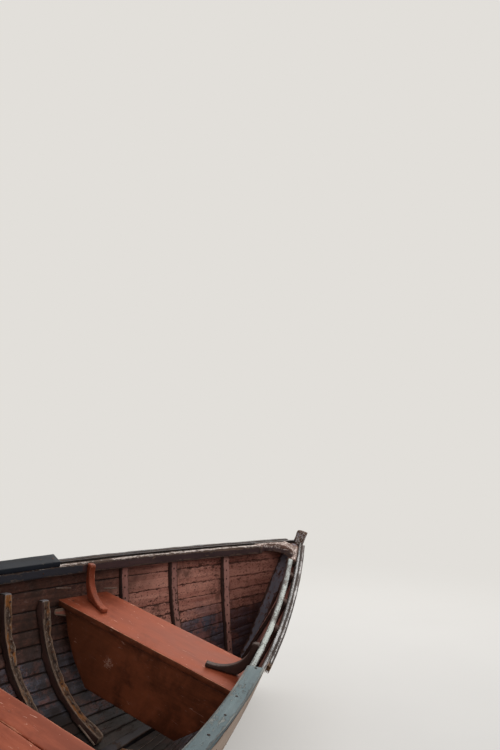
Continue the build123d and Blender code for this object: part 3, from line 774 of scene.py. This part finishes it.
nail_metal = finish("nail_metal", rusty, 0.0006)
PLANK_DEPTH = 0.0174
NAILS_IN_A_TIMBER = 13
inside_nails = []
outside_nails = []
for number, chains in enumerate(frame_chains):
    shares = np.linspace(0.08, 0.95, NAILS_IN_A_TIMBER)
    shares += [0.018 * noise.noise((number * 1.1, k * 2.3, 5.0)) for k in range(NAILS_IN_A_TIMBER)]
    edges = np.stack([along(chain, shares) for chain in chains])
    mean_reach = [np.mean([reach(point) for point in edge]) for edge in edges]
    order = np.argsort(mean_reach)
    inner = edges[order[:2]].mean(axis=0)
    outer = edges[order[2:]].mean(axis=0)
    across = unit(edges[order[0]] - edges[order[1]])
    for k in range(NAILS_IN_A_TIMBER):
        into = unit(inner[k] - outer[k])
        sway = across[k] * 0.011 * noise.noise((number * 2.1, k * 1.3, 0.0))
        inside_nails.append((inner[k] + sway - into * 0.0002, into))
        outside_nails.append((outer[k] + sway - into * PLANK_DEPTH, -into))
scatter("rib_roves", stud(0.0056, 0.0018), inside_nails, nail_metal)
scatter("plank_nails", stud(0.0042, 0.0005), outside_nails, nail_metal)

# Stern
# Broad raked transom of oak boards, to which the ends of the planks are nailed, with a flat knee
# in each corner. It is painted as the planking, outside and inside.


def boarded(wire, paint, bare):
    """Old paint on level boards, with an open joint between one board and the next."""
    colour, roughness, height = old_paint(
        wire, paint=paint, bare=bare, lost=0.42, edge_lost=0.16, flake=40.0, gloss=0.6, grime=0.6,
        dirt=(40, 30, 28), blotch=3.0)
    level = wire.add("ShaderNodeSeparateXYZ", {}, {0: wire.named("grain", "Vector")}, "Z")
    wave = wire.place().cloud(14.0, 3.0) * 0.003
    joint = wire.add("ShaderNodeMath", {"operation": "PINGPONG"}, {0: level + wave, 1: 0.088})
    joint = joint.step(0.0042, 0.002)
    return (joint * 0.9).tint(colour, (26, 20, 18)), roughness, height - joint * 1.2


transom_inside = finish("transom_inside", lambda wire: boarded(
    wire, ((104, 64, 60), (152, 104, 98)), ((52, 34, 30), (104, 74, 62))), 0.0018)
transom_outside = finish("transom_outside", lambda wire: boarded(
    wire, ((136, 115, 102), (174, 152, 136)), ((76, 62, 54), (130, 112, 96))), 0.0018)
carved("transom", "transom_board", 0.004, 0.03, [transom_inside, transom_outside],
       after_face, seed=8.0, fibre_axis=PORT)
carved("quarter_knees", "quarter_knee_pair", 0.004, 0.014, [timber_paint], seed=9.0)

# Gunwale
# Bent oak strips nailed through the frame heads, the inwale inside and the rub rail outside, with
# a capping board over them aft of the fore thwart. The port capping is dark navy, the starboard
# one paler teal, partly faded and partly painted sky reflection; the rail under it has broken off.

inwale_face = painted(
    "inwale_face", 0.0018, paint=((42, 28, 31), (76, 53, 53)), bare=((38, 26, 23), (112, 90, 80)),
    lost=0.56, edge_lost=0.2, flake=52.0, gloss=0.5, grime=0.5, dirt=(26, 20, 20), blotch=4.0)
port_top = painted(
    "port_top", 0.0018, paint=((144, 130, 126), (190, 180, 174)), bare=((42, 29, 27), (100, 80, 70)),
    lost=0.74, edge_lost=0.05, flake=58.0, gloss=0.55, grime=0.3, dirt=(40, 32, 32), blotch=5.0)
starboard_top = painted(
    "starboard_top", 0.0018, paint=((136, 146, 147), (178, 185, 181)),
    bare=((44, 40, 40), (104, 96, 92)), lost=0.66, edge_lost=0.05, flake=110.0, gloss=0.6, grime=0.42,
    dirt=(60, 58, 62), blotch=6.0, lay=(1.0, 1.3, 1.3))
port_rail = painted(
    "port_rail", 0.0016, paint=((26, 26, 32), (50, 51, 60)), bare=((40, 30, 28), (104, 92, 86)),
    lost=0.5, edge_lost=0.16, flake=70.0, gloss=0.5, grime=0.4, dirt=(20, 18, 20), blotch=5.0)
rail_paint = painted(
    "rail_paint", 0.0022, paint=((112, 118, 126), (176, 174, 176)), bare=((26, 23, 25), (84, 72, 68)),
    lost=0.72, edge_lost=0.1, flake=130.0, gloss=0.55, grime=0.25, dirt=(30, 28, 30), blotch=5.0,
    under=(206, 210, 210), rim_width=0.013, lay=(1.1, 1.2, 1.2))
# Paler teal for the starboard capping: faded paint, and a painted reflection of the sky.
teal_reflection_paint = painted(
    "teal_reflection_paint", 0.0018, paint=((50, 72, 80), (88, 110, 116)), bare=((60, 64, 66), (138, 142, 140)),
    lost=0.6, edge_lost=0.16, flake=70.0, gloss=0.6, grime=0.55, dirt=(44, 54, 60), blotch=6.0)


def snaped(chains):
    """A stick whose ends are cut away on a slant from below."""
    stations = 41
    slant = 0.13
    shares = np.linspace(0, 1, stations)
    rows = ranked([along(chain, shares) for chain in chains], altitude)
    length = np.linalg.norm(np.diff(rows[0], axis=0), axis=1).sum()
    rise = np.clip(1 - np.minimum(shares, 1 - shares) * length / slant, 0, 1)[:, None] * 0.62
    low = []
    for row in rows[:2]:
        above = min(rows[2:], key=lambda upper: np.linalg.norm(upper[stations // 2] - row[stations // 2]))
        low.append((row + (above - row) * rise, above))
    return [low[0][0], low[1][0], low[1][1], low[0][1]]


def four_sided(node, piece_name, radius, spacing, slot, materials, rule=None, columns=1, seed=0.0, erode=0.0,
               cut=list):
    """Build the pieces of a node again as one object. Returns their long edges."""
    return rebuilt(
        node, piece_name, slot, materials, rule, cut,
        lambda index: (seed + index * 2.3, (index * 3.9, seed, 0.6)), radius, spacing, columns=columns,
        erode=erode)[1]


navy_paint = painted(
    "navy_paint", 0.001, sheen=0.16, paint=((10, 13, 20), (25, 31, 41)),
    bare=((58, 52, 52), (128, 122, 118)), lost=0.1, edge_lost=0.14, flake=40.0, gloss=0.58, grime=0.35,
    dirt=(14, 14, 18), blotch=4.0)
FORE_KNEE = 1.03
inwale_coats = [inwale_face, port_top, starboard_top, port_rail]


def inwale_coat(normal, centre):
    """Pale worn top, and an inner face that is nearly black aft of the fore knee."""
    if normal @ UP > 0.5:
        coat = port_top if port_side(centre) else starboard_top
    else:
        coat = port_rail if centre[0] < FORE_KNEE else inwale_face
    return inwale_coats.index(coat)


def port_piece(normal, centre):
    """1 on the port piece of a pair."""
    return int(port_side(centre))


inwale_sticks = four_sided(
    "inwales", "inwale_strips", 0.004, 0.03, "gunwale_paint", inwale_coats, inwale_coat, seed=20.0,
    erode=0.06)
rail_sticks = four_sided(
    "rub_rails", "rub_rail_strips", 0.005, 0.025, "gunwale_paint", [rail_paint, port_rail],
    port_piece, seed=23.0, erode=0.1)
cap_sticks = four_sided(
    "capping", "capping_boards", 0.003, 0.03, "gunwale_paint", [teal_reflection_paint, navy_paint],
    port_piece, 3, seed=26.0, erode=0.025)

# The top edge of the sheer strake shows beside the inwale, and its inner face down in the slot
# where the frame heads stand is painted black as shade, with the caulk finish.
sheer_planks = bpy.data.objects[f"strake_{STRAKES:02d}_planks"].data
sheer_coats = [inside_paint, outside_paint, rail_paint, port_rail, caulk_and_slot_shade]
for material in sheer_coats[2:]:
    sheer_planks.materials.append(material)
inwale_foot = {}
for chains in inwale_sticks:
    foot = ranked(chains, altitude)[0]
    inwale_foot[bool(port_side(foot[0]))] = foot[np.argsort(foot[:, 0])]
for face in sheer_planks.polygons:
    centre = np.array(face.center)
    port = bool(port_side(centre))
    slot_floor = altitude(at_x(inwale_foot[port], [centre[0]])[0]) + 0.006
    if face.normal.dot(UP) > 0.6:
        face.material_index = sheer_coats.index(port_rail if port else rail_paint)
    elif sheer_coats[face.material_index] == inside_paint and altitude(centre) > slot_floor:
        face.material_index = sheer_coats.index(caulk_and_slot_shade)

breasthook_paint = painted(
    "breasthook_paint", 0.0022, paint=((146, 124, 120), (190, 174, 170)),
    bare=((62, 44, 38), (112, 84, 74)), lost=0.72, edge_lost=0.08, flake=100.0, gloss=0.6, grime=0.3,
    dirt=(54, 38, 36), blotch=8.0, under=(222, 212, 206), rim_width=0.02)
carved("breasthook", "breasthook_knee", 0.006, 0.012, [inwale_face, breasthook_paint],
       lambda normal, centre: int(normal @ UP > 0.45), seed=28.0, decay=0.006)

# The starboard rail broke off across the grain and left long splinters at its after end.

SPLINTERS = 9
parts = []
starboard_rail = min(rail_sticks, key=lambda chains: chains[0][0] @ PORT)
stubs = aft_first(starboard_rail)
root = np.array([chain[0] for chain in stubs])
trail = unit(root.mean(axis=0) - np.array([along(chain, [0.08])[0] for chain in stubs]).mean(axis=0))
for k in range(SPLINTERS):
    across, up = (k % 3 + 0.5) / 3, (k // 3 + 0.5) / 3
    low = root[0] * (1 - across) + root[1] * across
    high = root[3] * (1 - across) + root[2] * across
    base = low * (1 - up) + high * up
    length = 0.014 + 0.026 * (0.5 + 0.5 * noise.noise((k * 1.9, 2.0, 3.0)))
    thick = 0.0032 + 0.001 * noise.noise((k * 2.7, 1.0, 0.0))
    sides = [unit(root[1] - root[0]), unit(root[3] - root[0])]
    stick = []
    for a, b in ((-1, -1), (1, -1), (1, 1), (-1, 1)):
        offset = (sides[0] * a + sides[1] * b) * thick
        foot = base - trail * 0.01 + offset
        waist = base + trail * length * 0.5 + offset * 0.75
        tip = base + trail * length + offset * 0.15
        stick.append(np.array([foot, waist, tip]))
    parts.append(timber(stick, k * 1.3, 0.0006, 0.006, 0, 0.001))
join("rail_splinters", parts, [0.5] * len(parts), [], [crook_wood])

# Thwarts
# Planed boards across the boat, painted terracotta, on bearers along the timbers, each end
# held by a grown knee. Under the after edge of the fore thwart hangs a dark red bulkhead.


def seat_finish(wire):
    """Satin terracotta with brush marks, scuffs, dust in the hollows and a few pale scratches."""
    grain = wire.named("grain", "Vector")
    edge = wire.named("edge")
    tone = wire.named("tone")
    place = wire.place()
    brush = grain.stretch(5, 130, 130).cloud(1.0, 4.0, 0.6)
    wide = grain.stretch(1.5, 6, 6).cloud(2.2, 5.0, 0.62)
    fine = place.cloud(120.0, 4.0, 0.7)
    paint = (wide * 0.8 + tone * 0.25).step(0.35, 0.7).tint((124, 56, 34), (152, 77, 54))
    dust = (wide + fine * 0.35).step(0.62, 0.9)
    scratch = grain.stretch(9, 60, 60).cloud(1.6, 2.0, 0.5, 1.6).step(0.69, 0.71)
    worn = (edge * 0.55 + brush * 0.3 + place.cloud(26.0, 5.0, 0.7) * 0.5).step(0.86, 0.9)
    port = wire.add("ShaderNodeSeparateXYZ", {}, {0: place}, "Y")
    soot = (place.cloud(5.0, 6.0, 0.7) + port.step(0.1, 0.6) * 0.2).step(0.54, 0.76)
    colour = layered(paint, (dust * 0.35, (164, 94, 72)), (scratch * 0.7, (216, 166, 146)),
                     (worn * 0.8, (208, 140, 112)), (soot * 0.5, (88, 40, 24)))
    roughness = 0.56 + dust * 0.16 + worn * 0.25 + (fine - 0.5) * 0.12
    return colour, roughness, brush * 0.4 + wide * 0.2 - worn * 0.4 - scratch * 0.3


SCUFF = (0.924, 0.222, 0.425)


def bulkhead_finish(wire):
    """Dark red paint, cloudy and dull, rubbed by gear and scuffed pale at one spot."""
    grain = wire.named("grain", "Vector")
    edge = wire.named("edge")
    place = wire.place()
    brush = grain.stretch(5, 120, 120).cloud(1.0, 4.0, 0.6)
    clouds = place.cloud(6.0, 6.0, 0.7, 0.4)
    broad = place.cloud(2.4, 3.0)
    blots = place.cloud(24.0, 6.0, 0.72)
    mixed = (clouds * 0.7 + broad * 0.5 + brush * 0.15).step(0.5, 0.84)
    paint = mixed.tint((84, 43, 26), (142, 76, 48))
    rubbed = (blots * 0.8 + clouds * 0.3).step(0.6, 0.74)
    soot = (place.cloud(3.4, 6.0, 0.68) + brush * 0.15).step(0.6, 0.78)
    port = wire.add("ShaderNodeSeparateXYZ", {}, {0: place}, "Y")
    shadow = (port + (clouds - 0.5) * 0.7).step(0.0, 0.5)
    apart = wire.add("ShaderNodeVectorMath", {"operation": "DISTANCE"}, {0: place, 1: SCUFF}, "Value")
    scratches = (apart.step(0.05, 0.005) * 0.2 + place.cloud(60.0, 5.0, 0.72, 1.5)).step(0.64, 0.74)
    scuff = scratches * apart.step(0.05, 0.02)
    rubs = grain.stretch(7, 42, 42).cloud(1.4, 2.0, 0.5, 2.2).step(0.7, 0.73)
    worn = (edge * 0.5 + blots * 0.6).step(0.72, 0.78)
    colour = layered(
        paint, (rubbed * 0.5, (142, 88, 70)), (soot * 0.7, (44, 20, 14)), (shadow * 0.45, (56, 33, 20)),
        (scuff * 0.6 + rubs * 0.4, (196, 156, 140)), (worn * 0.6, (60, 30, 24)))
    return colour, 0.42 + clouds * 0.2 + rubs * 0.2, brush * 0.4 + blots * 0.3 - rubs * 0.3


seat_paint = finish("seat_paint", seat_finish, 0.0011, 0.14)
bulkhead_paint = finish("bulkhead_paint", bulkhead_finish, 0.0012)
bearer_paint = painted(
    "bearer_paint", 0.0016, paint=((98, 54, 42), (136, 84, 70)), bare=((76, 58, 50), (146, 122, 106)),
    lost=0.5, edge_lost=0.3, flake=48.0, gloss=0.55, grime=0.6, dirt=(30, 20, 18), blotch=5.0)

# The after edge of the fore thwart has the bulkhead's paint.
board_sticks = []
for index, node in enumerate(("thwart_fore", "thwart_mid", "thwart_aft", "stern_bench")):
    board_sticks += four_sided(
        node, node + "_boards", 0.003, 0.025, "seat_paint", [seat_paint, bulkhead_paint],
        lambda normal, centre: int(normal[0] < -0.7 and centre[0] > 0.9), 6, seed=31.0 + index, erode=0.012)
four_sided("bearers", "bearer_strips", 0.004, 0.02, "bare_timber", [bearer_paint],
           seed=37.0, erode=0.1, cut=snaped)
carved("bulkhead", "bulkhead_board", 0.003, 0.02, [bulkhead_paint],
       seed=39.0, fibre_axis=PORT)
# The starboard knee is given the dark wood all over as painted shade; the port knee keeps the seat paint.
carved("thwart_knees", "knees", 0.006, 0.008, [seat_paint, shade_side_wood],
       lambda normal, centre: int(not port_side(centre)), seed=41.0, limit=34)


def top_pair(chains):
    """The two upper long edges of a stick."""
    return ranked(chains, altitude)[2:]


board_nails = []
for chains in board_sticks:
    for share in (0.035, 0.965):
        first, second = [along(chain, [share])[0] for chain in top_pair(chains)]
        board_nails += [(first + (second - first) * part, UP) for part in (0.2, 0.5, 0.8)]
scatter("board_nails", stud(0.0045, 0.0006), board_nails, nail_metal)

# The cappings are nailed down; on the starboard one most heads have rusted away to dark holes.


def rust_hole(wire):
    """Sooty rust round a lost nail head."""
    place = wire.place()
    crust = place.cloud(300.0, 4.0, 0.7)
    return crust.step(0.4, 0.65).tint((16, 13, 14), (52, 34, 28)), 0.9 - crust * 0.1, crust


hole_paint = finish("hole_paint", rust_hole, 0.001)

# How far forward each nail stands, those in the bow as the photograph shows them
CAP_NAILS = (0.834, 0.601, 0.47, 0.333, 0.12, -0.07, -0.31, -0.52, -0.8, -1.07, -1.3, -1.61, -1.9, -2.2)
CAP_END_NAIL = 0.891
for chains in cap_sticks:
    edges = sorted(aft_first(top_pair(chains)), key=lambda chain: abs(float(chain[len(chain) // 2] @ PORT)))
    spots = []
    for number, x in enumerate(CAP_NAILS):
        inner, outer = [at_x(chain, [x])[0] for chain in edges]
        spots.append((inner + (outer - inner) * (0.5 + 0.24 * noise.noise((number * 2.9, 0.3, 0.5))), UP))
    if port_side(chains[0][0]):
        inner, outer = [at_x(chain, [CAP_END_NAIL])[0] for chain in edges]
        spots.append((inner + (outer - inner) * 0.45, UP))
        scatter("port_cap_nails", stud(0.0052, 0.0008), spots, nail_metal)
    else:
        scatter("starboard_cap_holes", stud(0.0062, 0.0003), spots, hole_paint, 0.5)

inwale_nails = []
for chains in inwale_sticks:
    edges = ranked(chains, lambda point: abs(float((point - KEEL_LINE) @ PORT)))[:2]
    for share in np.linspace(0.03, 0.97, 19):
        first, second = [along(chain, [share])[0] for chain in edges]
        inwale_nails.append(((first + second) / 2, -outward((first + second) / 2)))
scatter("inwale_nails", stud(0.0045, 0.0008), inwale_nails, nail_metal)

# Two worn ledges on the planks beside the port knee catch the light, and a thin lath runs down
# from the foot of the forward crook frame.


def lath(first, last, out, width, depth):
    """Chains of a thin strip between two points on a surface, standing out of it."""
    ends = np.array([first, last])
    side = np.cross(unit(ends[1] - ends[0]), out) * width / 2
    lift = np.array(out) * depth
    return [ends - side, ends + side, ends + side + lift, ends - side + lift]


ledge_wood = painted(
    "ledge_wood", 0.0012, paint=((112, 92, 82), (160, 140, 128)), bare=((88, 68, 56), (150, 130, 112)),
    lost=0.5, edge_lost=0.1, flake=60.0, gloss=0.6, grime=0.3, dirt=(60, 44, 38), blotch=8.0)

# Both ends of each strip, the way it faces, its width and its depth
strips = [
    lath((0.923, 0.5487, 0.7276), (0.9996, 0.5242, 0.7153), (-0.3, -0.95, 0.02), 0.0045, 0.004),
    lath((1.171, 0.4658, 0.688), (1.2432, 0.4393, 0.6768), (-0.34, -0.94, 0.03), 0.0045, 0.004),
    lath((0.8187, 0.2953, 0.1747), (0.8187, 0.2009, 0.1081), (-1.0, 0.0, 0.0), 0.008, 0.006),
]
parts = [timber(stick, 50.0 + n, 0.0012, 0.01, 0, 0.001, 0.2) for n, stick in enumerate(strips)]
join("worn_ledges", parts, [0.5] * len(parts), [], [ledge_wood])

# Rowlock sockets
# Blocks of cast iron with a round bore for the rowlock pin, galvanised long ago and bolted to
# the cappings, a pair aft of the middle thwart and a pair aft of the after one.


def cast_metal(wire):
    """Dull zinc, rust through it, rough from the sand mould."""
    place = wire.place()
    edge = wire.named("edge")
    rust = (place.cloud(70.0, 6.0, 0.7) + edge * 0.12).step(0.5, 0.66)
    colour = rust.tint((92, 92, 92), (112, 64, 40))
    return colour, 0.5 + rust * 0.35, place.cloud(380.0, 4.0, 0.7) + rust * 0.6


socket_metal = finish("socket_metal", cast_metal, 0.0008)
carved("rowlock_sockets", "socket_blocks", 0.0015, 0.006, [socket_metal], seed=44.0)

# Bilge runners
# Rubbing strips of hard wood, nailed along the bilges from outside and worn almost bare by the
# beach. The boat lies on the starboard one.

four_sided("runners", "runner_strips", 0.006, 0.04, "outside_paint", [keel_wood], seed=47.0)

# Floor, light and camera
# Pale floor that runs out into a backdrop of its own tone, one broad soft lamp ahead of the
# bow, a weaker one to starboard, and the camera over the starboard side looking forward.

BACKDROP = srgb(226, 223, 218)
FLOOR_RADIUS = 40.0
FLOOR_SIDES = 96


def in_view(wire):
    """1 for rays from the camera and for those in reflections and through glass."""
    seen = [wire.add("ShaderNodeLightPath", {}, {}, ray)
            for ray in ("Is Camera Ray", "Is Glossy Ray", "Is Transmission Ray")]
    return wire.sum("MINIMUM", seen[0] + seen[1] + seen[2], 1.0)


def pale_floor(wire):
    """Pale matt floor that takes the boat's shadow, and turns into the backdrop further out."""
    place = wire.place()
    distance = wire.add("ShaderNodeVectorMath", {"operation": "LENGTH"}, {0: place}, "Value")
    far = distance.step(2.9, 6.2)
    tone = place.cloud(1.2, 3.0).tint((192, 194, 196), (200, 202, 204))
    near = wire.add("ShaderNodeBsdfPrincipled", {}, {"Base Color": tone, "Roughness": 0.9})
    plain = wire.add("ShaderNodeEmission", {}, {"Color": BACKDROP, "Strength": 1.0})
    surface = wire.add("ShaderNodeMixShader", {}, {0: (far * 0.6 + 0.4) * in_view(wire), 1: near, 2: plain})
    wire.add("ShaderNodeOutputMaterial", {}, {"Surface": surface})


floor_mesh = bpy.data.meshes.new("floor")
turns = [2 * math.pi * k / FLOOR_SIDES for k in range(FLOOR_SIDES)]
rim = [(FLOOR_RADIUS * math.cos(turn), FLOOR_RADIUS * math.sin(turn), -0.0005) for turn in turns]
floor_mesh.from_pydata(rim, [], [list(range(FLOOR_SIDES))])
floor = bpy.data.objects.new("floor", floor_mesh)
bpy.context.scene.collection.objects.link(floor)
floor_material = bpy.data.materials.new("floor")
floor_material.use_nodes = True
floor_material.node_tree.nodes.clear()
pale_floor(Wire(floor_material.node_tree))
floor_mesh.materials.append(floor_material)

world = bpy.data.worlds.new("studio")
bpy.context.scene.world = world
world.use_nodes = True
world.node_tree.nodes.clear()
sky = Wire(world.node_tree)
soft = sky.add("ShaderNodeBackground", {}, {"Color": (1.0, 0.98, 0.95, 1.0), "Strength": 0.45})
seen = sky.add("ShaderNodeBackground", {}, {"Color": BACKDROP, "Strength": 1.0})
backdrop = sky.add("ShaderNodeMixShader", {}, {0: in_view(sky), 1: soft, 2: seen})
sky.add("ShaderNodeOutputWorld", {}, {"Surface": backdrop})

LIT_SPOT = (0.6, 0.0, 0.4)


def lamp(name, place, size, power, colour):
    """Square soft lamp that faces the lit spot."""
    light = bpy.data.lights.new(name, "AREA")
    light.size = size
    light.energy = power
    light.color = colour
    holder = bpy.data.objects.new(name, light)
    holder.location = place
    holder.rotation_euler = (Vector(LIT_SPOT) - Vector(place)).to_track_quat("-Z", "Y").to_euler()
    bpy.context.scene.collection.objects.link(holder)


lamp("key", (5.6, 0.4, 4.6), 4.5, 330, (1.0, 0.94, 0.87))
lamp("fill", (0.0, -5.0, 5.5), 5.0, 150, (1.0, 0.98, 0.95))

CAMERA_PLACE = (-1.7157, -2.0162, 1.5333)
CAMERA_PITCH = math.radians(3.532)
CAMERA_HEADING = math.radians(-60.488)
view = bpy.data.cameras.new("view")
view.lens = 35.0
view.sensor_width = 36.0
camera = bpy.data.objects.new("view", view)
camera.location = CAMERA_PLACE
camera.rotation_euler = (math.pi / 2 + CAMERA_PITCH, 0, CAMERA_HEADING)
bpy.context.scene.collection.objects.link(camera)
bpy.context.scene.camera = camera
bpy.context.scene.view_settings.view_transform = "Standard"
